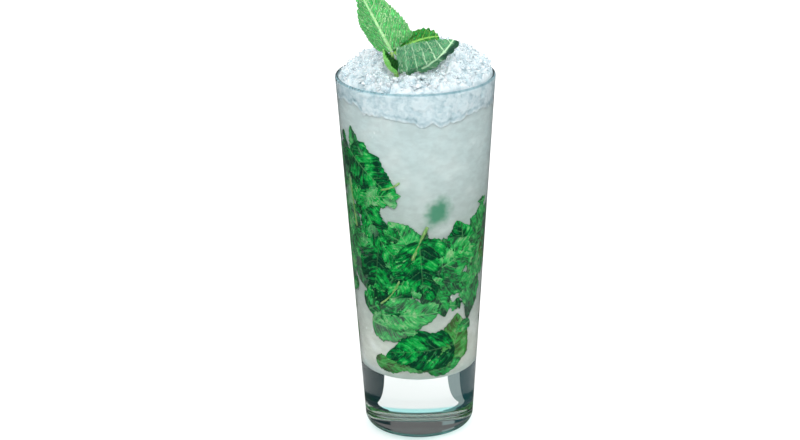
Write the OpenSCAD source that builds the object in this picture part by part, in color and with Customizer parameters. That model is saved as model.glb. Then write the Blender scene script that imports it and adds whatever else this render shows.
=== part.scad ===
// A tall mint cocktail in a heavy-based highball glass, heaped with crushed ice.
// Millimetres, +Z up. The origin is the middle of the underside of the glass.

/* [Glass] */
// Height of the glass
glass_h = 160; // [120:1:200]
// Outer radius at the rim
rim_r = 34; // [30:0.5:42]
// Outer radius of the tapered side, carried down to the table
base_r = 23.6; // [20:0.2:28]
// Radius of the rounded edge under the base
foot_round = 5; // [1:0.5:8]
// Wall thickness at the rim
rim_wall = 1.6; // [1:0.1:3]
// Wall thickness at the cavity floor
low_wall = 2.8; // [2:0.1:5]
// Thickness of the solid glass base
base_thick = 27.5; // [10:0.5:40]
// Radius of the round corner between cavity floor and wall
cavity_round = 9; // [3:0.5:14]

/* [Drink] */
// Depth of the drink's level below the rim
level_below_rim = 10; // [5:0.5:40]
// Clearance between the contents and the glass
fit_gap = 0.1; // [0.05:0.05:0.5]

/* [Crushed ice] */
// How far the middle of the heap rises above the edge of the heap
heap_rise = 11; // [4:0.5:20]
// Height of the heap's edge above the rim
heap_edge = 1.4; // [0:0.1:4]
// How much the heap leans up towards +X, as rise over run
heap_lean = 0.05; // [0:0.01:0.1]
// Height of the lumps on the heap
lump_h = 0.8; // [0:0.1:1.5]
// Depth of the shallow dip in the heap's -X side
dip_depth = 3; // [0:0.5:5]
// Width of that dip
dip_w = 14; // [8:1:20]

/* [Mint sprig] */
// Where the sprig stands on the ice, along X
sprig_x = -8; // [-12:0.5:12]
// Where the sprig stands on the ice, along Y
sprig_y = -20.5; // [-22:0.5:-10]
// Diameter of the stem at its foot
stem_d = 2; // [1.2:0.1:3]
// Length of the stem above its seat
stem_len = 9.6; // [6:0.2:14]
// Thickness of a leaf
leaf_thick = 0.6; // [0.4:0.1:1]
// Length of the upright leaf
tall_len = 29; // [18:0.5:36]
// Width of half of the upright leaf
tall_half_w = 11.3; // [7:0.1:14]
// Length of the leaf that points to +X
side_len = 27.5; // [18:0.5:32]
// Width of the wide half of the leaf that points to +X
side_half_w = 10.8; // [6:0.1:12]
// Width of its half that is folded away
side_fold_w = 4.5; // [2:0.1:5]
// Length of the leaf behind
back_len = 20; // [12:0.5:24]
// Width of half of the leaf behind
back_half_w = 6.2; // [4:0.1:8]
// Length of the small curled leaf
curl_len = 12; // [7:0.5:14]
// Width of half of the small curled leaf
curl_half_w = 4.4; // [3:0.1:6]
// Gap left between the sprig's pieces, and under the stem
seat_gap = 0.2; // [0.1:0.05:0.4]

/* [Hidden] */

// how finely round things are cut up
arc_steps = 8;
heap_sides = 48;
heap_rings = 14;
leaf_rows = 16;
leaf_cols = 6;
stem_sides = 10;
stem_rings = 5;

// the cavity: a cone that starts at the solid base
cavity_low_r = base_r + (rim_r - base_r) * base_thick / glass_h - low_wall;
cavity_top_r = rim_r - rim_wall;
function cavity_r(z) = cavity_low_r + (cavity_top_r - cavity_low_r) * (z - base_thick) / (glass_h - base_thick);
function outer_r(z) = base_r + (rim_r - base_r) * z / glass_h;
outer_slope = atan((rim_r - base_r) / glass_h);
cavity_slope = atan((cavity_top_r - cavity_low_r) / (glass_h - base_thick));
level_z = glass_h - level_below_rim;

// points along an arc in the plane of the section
function arc(c, r, from, to) =
    [for (i = [0:arc_steps]) let (a = from + (to - from) * i / arc_steps) c + r * [cos(a), sin(a)]];

// the section of the cavity from its middle out to a height, drawn in by a gap
function cavity_section(top, gap) =
    let (c = [cavity_r(base_thick + cavity_round) - cavity_round / cos(cavity_slope), base_thick + cavity_round])
    concat([[0, base_thick + gap]],
           arc(c, cavity_round - gap, -90, -cavity_slope),
           [[cavity_r(top) - gap / cos(cavity_slope), top]]);

// ---- the heap of ice ----
// the lumps are gentle waves that cross each other
function lumps(x, y) = lump_h * (sin(34 * x + 11 * y) + sin(25 * y - 19 * x) + sin(47 * x - 31 * y) / 2) / 2;
heap_gap = 2 * fit_gap;
heap_r = cavity_r(glass_h) - heap_gap;
ring_crowding = 0.85; // below 1 the rings lie closer together near the edge
dip_x = -22;
function dip(x, y) = dip_depth * exp(-2 * (pow(x - dip_x, 2) + y * y) / (dip_w * dip_w));
function open_heap(x, y) =
    let (reach = min(1, norm([x, y]) / heap_r))
    glass_h + heap_edge + (heap_rise + lumps(x, y) - dip(x, y)) * (1 - pow(reach, 3)) + heap_lean * x;

// the bed is pressed into the heap under the sprig and under the leaf that points right
bed_r = 4.5;
bed_slope = 0.9;
bed_depth = 3.6;
bed_run = 14;
bed_z = open_heap(sprig_x, sprig_y) - bed_depth;
function beside_bed(x, y) = norm([x - max(sprig_x, min(sprig_x + bed_run, x)), y - sprig_y]);
function heap_z(x, y) = min(open_heap(x, y), bed_z + bed_slope * max(0, beside_bed(x, y) - bed_r));

// ---- the sprig ----
// all places on the sprig are measured from its foot, which stands on the bed
foot = [sprig_x, sprig_y, bed_z + seat_gap];
stem_way = unit([-1.9, 1.3, 9.6]);
stem_top = foot + stem_len * stem_way;

function unit(v) = v / norm(v);
function bend3(a, b, c, s) = (1 - s) * (1 - s) * a + 2 * s * (1 - s) * b + s * s * c;
function bend3_way(a, b, c, s) = unit((1 - s) * (b - a) + s * (c - b));

// half the width of a leaf: blunt at its base, then round, and pointed at its tip
tip_w = 0.12;
function leaf_half(s, w, widest, full) =
    tip_w + w * (s < widest ? sqrt(1 - pow(1 - s / widest, 2))
                            : pow(max(0, cos(90 * (s - widest) / (1 - widest))), full));

// a point of a leaf: s runs from base to tip, t from edge to edge, lift is off its middle surface
// half_w, folds and widest each hold a value for the t < 0 half and one for the t > 0 half
function leaf_point(a, b, c, face, half_w, folds, widest, full, s, t, lift) =
    let (way = bend3_way(a, b, c, s),
         side = unit(cross(way, face)),
         up = cross(side, way),
         k = t < 0 ? 0 : 1,
         hand = t < 0 ? -1 : 1,
         out = hand * cos(folds[k]) * side - sin(folds[k]) * up,
         blade_up = t == 0 ? up : cos(folds[k]) * up + hand * sin(folds[k]) * side)
    bend3(a, b, c, s) + abs(t) * leaf_half(s, half_w[k], widest[k], full) * out + lift * blade_up;

// two triangles for each square of a grid of points, turned over where flip is true
function grid_faces(rows, cols, first, flip) =
    [for (i = [0:rows - 1], j = [0:cols - 1], half = [0, 1])
        let (p = first + i * (cols + 1) + j,
             tri = half == 0 ? [p, p + 1, p + cols + 2] : [p, p + cols + 2, p + cols + 1])
        flip ? [tri[0], tri[2], tri[1]] : tri];

// a strip of triangles between two lists of point numbers
function strip(upper, lower) =
    [for (i = [0:len(upper) - 2], half = [0, 1])
        half == 0 ? [upper[i], lower[i], lower[i + 1]] : [upper[i], lower[i + 1], upper[i + 1]]];

// a leaf along a bend from a by b to c, with its face towards a direction and its halves folded back
module leaf(a, b, c, face, half_w, folds, widest, full) {
    layer = (leaf_rows + 1) * (leaf_cols + 1);
    points = [for (lift = [leaf_thick / 2, -leaf_thick / 2], i = [0:leaf_rows], j = [0:leaf_cols])
        leaf_point(a, b, c, face, half_w, folds, widest, full, i / leaf_rows, 2 * j / leaf_cols - 1, lift)];
    rim = concat([for (j = [0:leaf_cols]) j],
                 [for (i = [1:leaf_rows]) i * (leaf_cols + 1) + leaf_cols],
                 [for (j = [1:leaf_cols]) leaf_rows * (leaf_cols + 1) + leaf_cols - j],
                 [for (i = [1:leaf_rows]) (leaf_rows - i) * (leaf_cols + 1)]);
    polyhedron(points, concat(
        grid_faces(leaf_rows, leaf_cols, 0, true),
        grid_faces(leaf_rows, leaf_cols, layer, false),
        strip([for (p = rim) p + layer], rim)));
}

module glass() {
    foot_c = [outer_r(foot_round) - foot_round / cos(outer_slope), foot_round];
    lip_c = [rim_r - rim_wall / 2, glass_h - rim_wall / 2];
    inside = cavity_section(glass_h - rim_wall / 2, 0);
    color([0.80, 0.88, 0.90, 0.4])
        rotate_extrude($fn = 96)
            polygon(concat([[0, 0]],
                           arc(foot_c, foot_round, -90, -outer_slope),
                           arc(lip_c, rim_wall / 2, 0, 180),
                           [for (i = [len(inside) - 2:-1:0]) inside[i]]));
}

module drink() {
    color([0.72, 0.80, 0.77])
        rotate_extrude($fn = 96)
            polygon(concat(cavity_section(level_z, fit_gap), [[0, level_z]]));
}

module crushed_ice() {
    // rings of points: the heap's top from near its middle outwards, then its foot on the drink
    top_rings = [for (k = [1:heap_rings], j = [0:heap_sides - 1])
        let (r = heap_r * pow(k / heap_rings, ring_crowding), a = 360 * j / heap_sides)
        [r * cos(a), r * sin(a), heap_z(r * cos(a), r * sin(a))]];
    foot_ring = [for (j = [0:heap_sides - 1])
        let (r = cavity_r(level_z) - heap_gap, a = 360 * j / heap_sides)
        [r * cos(a), r * sin(a), level_z]];
    points = concat([[0, 0, heap_z(0, 0)]], top_rings, foot_ring, [[0, 0, level_z]]);
    rings = heap_rings + 1;
    function at(k, j) = 1 + (k - 1) * heap_sides + (j % heap_sides);
    last = len(points) - 1;
    color([0.90, 0.94, 0.96])
        polyhedron(points, concat(
            [for (j = [0:heap_sides - 1]) [0, at(1, j + 1), at(1, j)]],
            [for (k = [1:rings - 1], j = [0:heap_sides - 1], half = [0, 1])
                half == 0 ? [at(k, j), at(k, j + 1), at(k + 1, j + 1)] : [at(k, j), at(k + 1, j + 1), at(k + 1, j)]],
            [for (j = [0:heap_sides - 1]) [last, at(rings, j), at(rings, j + 1)]]));
}

module mint_stem() {
    // a slim stalk that tapers upwards and leans, with its foot cut level
    stem_taper = 0.3;
    across = unit(cross(stem_way, [0, 1, 0]));
    other = cross(stem_way, across);
    function stalk_point(s, a) =
        foot + s * stem_len * stem_way + stem_d / 2 * (1 - stem_taper * s) * (cos(a) * across + sin(a) * other);
    points = concat([foot],
        [for (i = [0:stem_rings], j = [0:stem_sides - 1])
            let (p = stalk_point(i / stem_rings, 360 * j / stem_sides))
            i == 0 ? [p[0], p[1], foot[2]] : p],
        [stem_top]);
    function at(i, j) = 1 + i * stem_sides + (j % stem_sides);
    last = len(points) - 1;
    color([0.42, 0.66, 0.28])
        polyhedron(points, concat(
            [for (j = [0:stem_sides - 1]) [0, at(0, j), at(0, j + 1)]],
            [for (i = [0:stem_rings - 1], j = [0:stem_sides - 1], half = [0, 1])
                half == 0 ? [at(i, j), at(i + 1, j), at(i + 1, j + 1)] : [at(i, j), at(i + 1, j + 1), at(i, j + 1)]],
            [for (j = [0:stem_sides - 1]) [last, at(stem_rings, j + 1), at(stem_rings, j)]]));
}

module mint_leaf_tall() {
    a = stem_top + (seat_gap + leaf_thick / 2) * stem_way;
    way = unit([-13.2, 2.7, 25.8]);
    color([0.36, 0.76, 0.40])
        leaf(a, a + tall_len * (way / 2 + [0.01, -0.028, 0.007]), a + tall_len * way,
             [0.1, -1, 0.15], [tall_half_w, tall_half_w], [56, 5], [0.3, 0.08], 0.7);
}

module mint_leaf_side() {
    a = foot + [stem_d / 2 + leaf_thick / 2 + seat_gap, -0.5, 1.1];
    color([0.34, 0.56, 0.40])
        leaf(a, a + side_len * [0.493, -0.037, 0.134], a + side_len * [0.890, 0.073, 0.448],
             [-0.1, 1, 0.1], [side_fold_w, side_half_w], [-60, -8], [0.3, 0.08], 0.62);
}

module mint_leaf_back() {
    a = foot + 0.92 * stem_len * stem_way + [stem_d / 2, 0.5 + seat_gap, 0];
    color([0.20, 0.56, 0.26])
        leaf(a, a + back_len * [0.44, 0.05, 0.33], a + back_len * [0.92, 0.30, 0.28],
             [0.1, -0.7, 0.7], [back_half_w, back_half_w], [15, 15], [0.25, 0.25], 0.5);
}

module mint_leaf_curled() {
    a = foot + [0.2, -(stem_d / 2 + leaf_thick + 4 * seat_gap), 1];
    color([0.48, 0.78, 0.34])
        leaf(a, a + curl_len * [-0.51, 0.02, 0.22], a + curl_len * [-0.46, 0.18, 0.86],
             [0.85, -0.45, 0.5], [curl_half_w, curl_half_w], [-50, -50], [0.3, 0.3], 0.6);
}

glass();
drink();
crushed_ice();
mint_stem();
mint_leaf_tall();
mint_leaf_side();
mint_leaf_back();
mint_leaf_curled();
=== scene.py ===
import bmesh, bpy, math
import numpy as np
from mathutils import Matrix, Vector, noise


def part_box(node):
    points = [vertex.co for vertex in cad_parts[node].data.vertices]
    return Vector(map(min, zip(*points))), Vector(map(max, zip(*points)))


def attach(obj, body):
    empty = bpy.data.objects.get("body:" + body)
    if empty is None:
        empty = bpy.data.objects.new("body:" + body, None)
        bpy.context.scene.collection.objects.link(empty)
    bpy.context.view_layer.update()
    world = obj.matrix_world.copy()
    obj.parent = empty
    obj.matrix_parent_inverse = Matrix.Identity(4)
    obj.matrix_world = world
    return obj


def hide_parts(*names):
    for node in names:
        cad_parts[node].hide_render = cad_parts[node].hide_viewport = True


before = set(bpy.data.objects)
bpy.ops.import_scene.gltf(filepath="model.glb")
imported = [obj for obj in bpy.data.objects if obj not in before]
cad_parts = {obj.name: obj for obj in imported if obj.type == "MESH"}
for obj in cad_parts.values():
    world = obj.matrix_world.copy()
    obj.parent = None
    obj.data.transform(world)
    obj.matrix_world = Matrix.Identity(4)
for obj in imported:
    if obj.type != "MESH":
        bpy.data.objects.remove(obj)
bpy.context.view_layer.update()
scene = bpy.context.scene
mm = 0.001


# small helpers for nodes
def setInputs(tree, node, values):
    for key, value in values.items():
        if isinstance(value, bpy.types.NodeSocket):
            tree.links.new(value, node.inputs[key])
        else:
            node.inputs[key].default_value = value


def add(tree, kind, ins=None, **settings):
    made = tree.nodes.new(kind)
    for key, value in settings.items():
        setattr(made, key, value)
    setInputs(tree, made, ins or {})
    return made


def maths(tree, operation, a, b=0.0, clamp=False):
    return add(tree, "ShaderNodeMath", {0: a, 1: b}, operation=operation, use_clamp=clamp).outputs[0]


def times(tree, a, b):
    return maths(tree, "MULTIPLY", a, b)


def split(tree, vector):
    return add(tree, "ShaderNodeSeparateXYZ", {0: vector}).outputs


def attribute(tree, name):
    return add(tree, "ShaderNodeAttribute", attribute_name=name).outputs


def ease(tree, value, low, high, lowOut=0.0, highOut=1.0):
    ins = {"Value": value, "From Min": low, "From Max": high, "To Min": lowOut, "To Max": highOut}
    return add(tree, "ShaderNodeMapRange", ins, interpolation_type="SMOOTHSTEP").outputs["Result"]


def mixColour(tree, amount, a, b, mode="MIX"):
    return add(tree, "ShaderNodeMix", {0: amount, 6: a, 7: b}, data_type="RGBA", blend_type=mode).outputs[2]


def grain(tree, place, scale, detail=3.0, rough=0.5):
    ins = {"Vector": place, "Scale": scale, "Detail": detail, "Roughness": rough}
    return add(tree, "ShaderNodeTexNoise", ins).outputs[0]


def mottled(tree, place, scale, detail, colours):
    return mixColour(tree, ease(tree, grain(tree, place, scale, detail), 0.35, 0.65), *colours)


def objectPlace(tree):
    return add(tree, "ShaderNodeTexCoord").outputs["Object"]


def newGroup(name, ins, outs):
    tree = bpy.data.node_groups.new(name, "ShaderNodeTree")
    kinds = {"f": "NodeSocketFloat", "c": "NodeSocketColor", "v": "NodeSocketVector"}
    for label, kind in ins:
        tree.interface.new_socket(label, in_out="INPUT", socket_type=kinds[kind])
    for label, kind in outs:
        tree.interface.new_socket(label, in_out="OUTPUT", socket_type=kinds[kind])
    return tree, tree.nodes.new("NodeGroupInput").outputs, tree.nodes.new("NodeGroupOutput").inputs


def useGroup(tree, group, ins):
    return add(tree, "ShaderNodeGroup", ins, node_tree=group).outputs


def newMaterial(name):
    made = bpy.data.materials.new(name)
    made.use_nodes = True
    return made, made.node_tree, made.node_tree.nodes["Principled BSDF"]


def relief(tree, height, strength, distance):
    ins = {"Height": height, "Strength": strength, "Distance": distance}
    return add(tree, "ShaderNodeBump", ins).outputs[0]


def colourRamp(tree, value, stops):
    made = add(tree, "ShaderNodeValToRGB", {0: value})
    ends = made.color_ramp.elements
    ends[0].position, ends[0].color = stops[0]
    ends[1].position, ends[1].color = stops[-1]
    for where, colour in stops[1:-1]:
        ends.new(where).color = colour
    return made.outputs["Color"]


def letLampsThrough(tree, shader, colour):
    # glass and clear ice cast almost no shadow
    clear = add(tree, "ShaderNodeBsdfTransparent", {"Color": colour})
    isShadow = add(tree, "ShaderNodeLightPath").outputs["Is Shadow Ray"]
    mix = add(tree, "ShaderNodeMixShader", {0: isShadow, 1: shader.outputs[0], 2: clear.outputs[0]})
    tree.links.new(mix.outputs[0], tree.nodes["Material Output"].inputs["Surface"])


# small helpers for meshes
def newPiece(name, points, faces, materials, smooth=True):
    mesh = bpy.data.meshes.new(name)
    mesh.from_pydata(np.asarray(points).tolist(), [], faces)
    mesh.update()
    for m in materials:
        mesh.materials.append(m)
    mesh.polygons.foreach_set("use_smooth", [smooth] * len(mesh.polygons))
    made = bpy.data.objects.new(name, mesh)
    scene.collection.objects.link(made)
    return made


def paint(piece, name, values):
    values = np.asarray(values, float)
    kind, key = ("FLOAT", "value") if values.ndim == 1 else ("FLOAT_VECTOR", "vector")
    piece.data.attributes.new(name, kind, "POINT").data.foreach_set(key, values.ravel())


def arcPoints(middle, radius, start, end, steps):
    turns = np.radians(np.linspace(start, end, steps + 1))
    return [(middle[0] + radius * math.cos(a), middle[1] + radius * math.sin(a)) for a in turns]


def ringFaces(count, sides, flip=False):
    # faces over rings of points, closed by a fan from the first point and one to the last
    faces = [(0, 1 + (j + 1) % sides, 1 + j) for j in range(sides)]
    for i in range(count - 1):
        a, b = 1 + i * sides, 1 + (i + 1) * sides
        faces += [(a + j, a + (j + 1) % sides, b + (j + 1) % sides, b + j) for j in range(sides)]
    a = 1 + (count - 1) * sides
    faces += [(a + j, a + (j + 1) % sides, a + sides) for j in range(sides)]
    return [f[:1] + f[:0:-1] for f in faces] if flip else faces


def joined(pieces):
    # the points and faces of many pieces as one list of each
    points, faces = [], []
    for some, own in pieces:
        faces += [tuple(len(points) + i for i in f) for f in own]
        points += list(some)
    return points, faces


def lathe(name, profile, sides, materials):
    # the first and last points of the profile lie on the axis
    turns = np.linspace(0, 2 * math.pi, sides, endpoint=False)
    points = [(0, 0, profile[0][1])]
    for r, z in profile[1:-1]:
        points += [(r * math.cos(a), r * math.sin(a), z) for a in turns]
    points.append((0, 0, profile[-1][1]))
    return newPiece(name, points, ringFaces(len(profile) - 2, sides), materials)


def bezier(a, b, c, k):
    return (1 - k) ** 2 * a + 2 * k * (1 - k) * b + k * k * c


def noiseOver(s, t, place):
    # noise at each point of a grid, where place says which spot in space belongs to its s and t
    spots = [noise.noise(Vector(place(a, b))) for a, b in zip(s.ravel(), t.ravel())]
    return np.array(spots).reshape(s.shape)


# the glass
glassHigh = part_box("glass")[1]
rimZ, rimR = glassHigh.z, glassHigh.x
glassShape = {
    "baseR": 23.6 * mm,
    "footRound": 5 * mm,
    "rimWall": 1.6 * mm,
    "lowWall": 2.8 * mm,
    "baseThick": 27.5 * mm,
    "cavityRound": 9 * mm,
    "puntDepth": 0.9 * mm,
    "puntR": 17.5 * mm,
    "sides": 192,
}
glassLook = {
    "tint": (0.94, 0.985, 0.98, 1),
    "footShadeTint": (0.20, 0.74, 0.72, 1),
    "rimShadeTint": (0.30, 0.50, 0.55, 1),
    "ior": 1.5,
    "lampTint": (0.99, 1.0, 1.0, 1),
    "footShadeHeights": (3.6 * mm, 2.6 * mm),        # where the tint of the foot starts and is full
    "rimShadeDepths": (0.9 * mm, 0.5 * mm),          # the same for the rim, below its top
}
baseR, baseThick = glassShape["baseR"], glassShape["baseThick"]
lowR = baseR + (rimR - baseR) * baseThick / rimZ - glassShape["lowWall"]
topR = rimR - glassShape["rimWall"]
cavitySlope = math.atan((topR - lowR) / (rimZ - baseThick))


def outerR(z):
    return baseR + (rimR - baseR) * z / rimZ


def cavityR(z):
    return lowR + (topR - lowR) * (z - baseThick) / (rimZ - baseThick)


corner = glassShape["cavityRound"]
cornerMiddle = (cavityR(baseThick + corner) - corner / math.cos(cavitySlope), baseThick + corner)


def cavityProfile(grow, top, steps):
    # from the middle of the cavity floor out and up to a height, grown into the wall
    profile = [(0, baseThick - grow), (cornerMiddle[0] * 0.5, baseThick - grow)]
    profile += arcPoints(cornerMiddle, corner + grow, -90, -math.degrees(cavitySlope), 14)
    start = profile[-1][1]
    for k in range(1, steps + 1):
        z = start + (top - start) * k / steps
        profile.append((cavityR(z) + grow / math.cos(cavitySlope), z))
    return profile


def makeGlassMaterial():
    made, tree, shader = newMaterial("clearGlass")
    look = glassLook
    # the rounded foot and the rim are tinted a little greener and darker than the wall: painted shade, in
    # place of the darker surroundings that thick glass bends into view
    height = split(tree, objectPlace(tree))["Z"]
    tint = mixColour(tree, ease(tree, height, *look["footShadeHeights"]), look["tint"], look["footShadeTint"])
    low, high = (rimZ - depth for depth in look["rimShadeDepths"])
    tint = mixColour(tree, ease(tree, height, low, high), tint, look["rimShadeTint"])
    setInputs(tree, shader, {"Base Color": tint, "Roughness": 0.0, "IOR": look["ior"],
                             "Transmission Weight": 1.0})
    letLampsThrough(tree, shader, look["lampTint"])
    return made


def makeGlass():
    s = glassShape
    slope = math.atan((rimR - baseR) / rimZ)
    foot = s["footRound"]
    footMiddle = (outerR(foot) - foot / math.cos(slope), foot)
    lipMiddle = (rimR - s["rimWall"] / 2, rimZ - s["rimWall"] / 2)
    punt = [(s["puntR"] * k / 8, s["puntDepth"] * (1 - (k / 8) ** 2)) for k in range(9)]
    outside = arcPoints(footMiddle, foot, -90, -math.degrees(slope), 14)
    start = outside[-1][1]
    heights = [start + (lipMiddle[1] - start) * k / 24 for k in range(1, 24)]
    outside += [(outerR(z), z) for z in heights]
    lip = arcPoints(lipMiddle, s["rimWall"] / 2, 0, 180, 12)
    inside = cavityProfile(0, lipMiddle[1], 24)[:-1]
    made = lathe("glassVessel", punt + outside + lip + inside[::-1], s["sides"], [makeGlassMaterial()])
    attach(made, "root")
    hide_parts("glass")


makeGlass()
print("glass made")

# the drink
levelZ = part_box("drink")[1].z
drinkLook = {
    "reach": 0.12 * mm,        # how far it runs into the wall
    "top": 6 * mm,             # how far it runs up under the ice
    "high": (0.60, 0.69, 0.69, 1),
    "middle": (0.49, 0.55, 0.525, 1),
    "low": (0.72, 0.74, 0.68, 1),
    "cloud": (0.86, 0.88, 0.86, 1),
    "veiled": (0.08, 0.30, 0.18, 1),
    "glint": (0.93, 0.97, 0.97, 1),
    # leaves that hang deep: angle round the glass, height, tilt
    "spots": ((17, 107, -35), (150, 112, 30), (235, 104, -20)),
    "spotSize": (6 * mm, 10 * mm, 8.5 * mm),
}


def makeDrinkGroup():
    tree, ins, outs = newGroup(
        "cloudyDrink",
        [("Top", "c"), ("Middle", "c"), ("Bottom", "c"), ("Cloud", "c")],
        [("Color", "c"), ("Height", "f")])
    place = objectPlace(tree)
    height = split(tree, place)["Z"]
    upper = ease(tree, height, 85 * mm, 140 * mm)
    lower = ease(tree, height, 75 * mm, 35 * mm)
    base = mixColour(tree, upper, ins["Middle"], ins["Top"])
    base = mixColour(tree, lower, base, ins["Bottom"])
    broad = grain(tree, place, 90, 2.0)
    streak = add(tree, "ShaderNodeMapping",
                 {"Vector": place, "Scale": (1, 1, 1.7), "Rotation": (0.6, 0.5, 0)})
    fine = grain(tree, streak.outputs[0], 230, 5.0, 0.6)
    patches = times(tree, ease(tree, broad, 0.45, 0.75), ease(tree, lower, 0.0, 1.0, 0.25, 0.9))
    colour = mixColour(tree, patches, base, ins["Cloud"])
    shade = ease(tree, fine, 0.3, 0.7, 0.93, 1.07)
    colour = add(tree, "ShaderNodeVectorMath", {0: colour, "Scale": shade}, operation="SCALE").outputs[0]
    tree.links.new(colour, outs["Color"])
    tree.links.new(fine, outs["Height"])
    return tree


def makeSpotGroup():
    # a soft-edged patch for a leaf that hangs deep in the cloudy drink
    tree, ins, outs = newGroup(
        "veiledLeaf", [("Centre", "v"), ("Turn", "v"), ("Size", "v")], [("Mask", "f")])
    place = objectPlace(tree)
    gap = add(tree, "ShaderNodeVectorMath", {0: place, 1: ins["Centre"]}, operation="SUBTRACT").outputs[0]
    turned = add(tree, "ShaderNodeVectorRotate", {"Vector": gap, "Rotation": ins["Turn"]},
                 rotation_type="EULER_XYZ").outputs[0]
    scaled = add(tree, "ShaderNodeVectorMath", {0: turned, 1: ins["Size"]}, operation="DIVIDE").outputs[0]
    far = add(tree, "ShaderNodeVectorMath", {0: scaled}, operation="LENGTH").outputs["Value"]
    uneven = maths(tree, "ADD", far, ease(tree, grain(tree, place, 330, 3.0), 0.3, 0.7, -0.13, 0.13))
    tree.links.new(ease(tree, uneven, 1.15, 0.3), outs["Mask"])
    return tree


def iceLine(angle):
    # how far down the ice shows through the wall, by the angle round the glass in degrees
    a = (angle + 180) % 360 - 180
    line = 150.5 - 3.6 * math.exp(-((a - 16) / 22) ** 2) + 3.6 * math.exp(-((a + 68) / 26) ** 2)
    line += 2.2 * noise.noise(Vector((math.cos(math.radians(a)) * 2.2, math.sin(math.radians(a)) * 2.2, 4)))
    ragged = 1.9 * noise.noise(Vector((a * 0.13, 0, 9))) + 1.2 * noise.noise(Vector((a * 0.37, 5, 9)))
    return (line + ragged) * mm


drinkGroup = makeDrinkGroup()
spotGroup = makeSpotGroup()


def drinkColour(tree):
    return useGroup(tree, drinkGroup, {"Top": drinkLook["high"], "Middle": drinkLook["middle"],
                                       "Bottom": drinkLook["low"], "Cloud": drinkLook["cloud"]})


def makeDrink():
    made, tree, shader = newMaterial("cloudyDrink")
    drink = drinkColour(tree)
    colour = drink["Color"]
    for angle, height, tilt in drinkLook["spots"]:
        a = math.radians(angle)
        r = cavityR(height * mm)
        spot = useGroup(tree, spotGroup, {
            "Centre": (r * math.sin(a), -r * math.cos(a), height * mm),
            "Turn": (0, math.radians(tilt), -a), "Size": drinkLook["spotSize"]})
        colour = mixColour(tree, times(tree, spot["Mask"], 0.95), colour, drinkLook["veiled"])
    # painted highlights: sparse small glints, as off bits of ice in the drink, ragged and stretched
    glintPlace = add(tree, "ShaderNodeMapping",
               {"Vector": objectPlace(tree), "Scale": (1, 1, 0.45), "Rotation": (0.5, 0.3, 0.2)})
    ragged = ease(tree, grain(tree, glintPlace.outputs[0], 900, 3.0), 0.60, 0.66)
    cluster = ease(tree, grain(tree, objectPlace(tree), 75, 1.0), 0.66, 0.72)
    colour = mixColour(tree, times(tree, ragged, cluster), colour, drinkLook["glint"])
    setInputs(tree, shader, {
        "Base Color": colour, "Roughness": 0.4, "IOR": 1.33, "Specular IOR Level": 0.1,
        "Subsurface Weight": 0.35, "Subsurface Radius": (0.8, 1.0, 1.0), "Subsurface Scale": 4 * mm,
        "Normal": relief(tree, drink["Height"], 0.25, 0.4 * mm)})
    top = levelZ + drinkLook["top"]
    profile = cavityProfile(drinkLook["reach"], top, 60) + [(0, top)]
    body = lathe("cloudyDrink", profile, 192, [made])
    # its upper edge follows the ragged line of the ice that presses on the wall
    start = 120 * mm
    for v in body.data.vertices:
        if v.co.z > start and v.co.xy.length > 1 * mm:
            a = math.atan2(v.co.y, v.co.x)
            line = iceLine(math.degrees(a) + 90) + 0.3 * mm
            z = start + (v.co.z - start) * (line - start) / (top - start)
            r = cavityR(z) + drinkLook["reach"]
            v.co = (r * math.cos(a), r * math.sin(a), z)
    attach(body, "root")
    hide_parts("drink")


makeDrink()
print("drink made")

# mint: one way of making a leaf, used for the garnish and for the sunk leaves
leafVeins = {"pairs": 9, "lean": 0.34, "curve": 1.25}


def leafOutline(s, halfWidth, widest, full, teeth, toothDepth):
    blunt = np.sqrt(np.clip(1 - (1 - np.minimum(s / widest, 1)) ** 2, 0, 1))
    taper = np.clip(np.cos(np.pi / 2 * np.clip((s - widest) / (1 - widest), 0, 1)), 0, 1) ** full
    half = halfWidth * np.where(s < widest, blunt, taper)
    # the teeth differ in length, so that they don't look cut by a machine
    saw = (s * teeth + 0.5 * np.sin(s * 11 + teeth) + 0.25 * np.sin(s * 23)) % 1.0
    bite = toothDepth * (saw - 0.45) * np.clip(s * 6, 0, 1) * np.clip((1 - s) * 5, 0.25, 1)
    return np.maximum(half + bite, 0.0001)


def veinPhase(s, t, veins):
    # counts the side veins: whole numbers and a half lie on a vein
    slant = veins["lean"] * np.abs(t) ** veins["curve"] * (1.05 - 0.55 * np.clip(s, 0, 1))
    return (s - slant) * veins["pairs"]


def puckers(s, t, length, halfWidth, seed, depth, veins):
    # grooves along the veins, with swollen blade between them
    phase = veinPhase(s, t, veins)
    pitch = length / veins["pairs"]
    toVein = np.abs(phase % 1.0 - 0.5) * pitch
    side = 0.5 - 0.5 * np.cos(np.clip(toVein / (pitch * 0.5), 0, 1) * np.pi)
    rib = 1 - np.exp(-(np.abs(t) * halfWidth / (0.7 * mm)) ** 2)
    uneven = noiseOver(s, t, lambda a, b: (a * length * 420, b * halfWidth * 420, seed))
    fade = np.clip((1 - np.abs(t)) * 4, 0.15, 1)
    return depth * (side * rib * fade + 0.45 * uneven * rib)


def leafGrid(rows, cols):
    # s runs from the stalk to the tip, t from one margin to the other
    return np.meshgrid(np.linspace(0, 1, rows + 1), np.linspace(-1, 1, cols + 1), indexing="ij")


def sheetFaces(rows, cols):
    # the faces of a thin closed sheet: its upper side, its under side and its edge
    across = cols + 1
    layer = (rows + 1) * across
    upper, under = [], []
    for i in range(rows):
        for j in range(cols):
            p = i * across + j
            upper.append((p, p + 1, p + across + 1, p + across))
            under.append((layer + p, layer + p + across, layer + p + across + 1, layer + p + 1))
    rim = list(range(cols + 1)) + [i * across + cols for i in range(1, rows + 1)]
    rim += [rows * across + cols - j for j in range(1, cols + 1)]
    rim += [(rows - i) * across for i in range(1, rows + 1)]
    edge = [(layer + a, layer + b, b, a) for a, b in zip(rim[:-1], rim[1:])]
    return upper, under, edge


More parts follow.
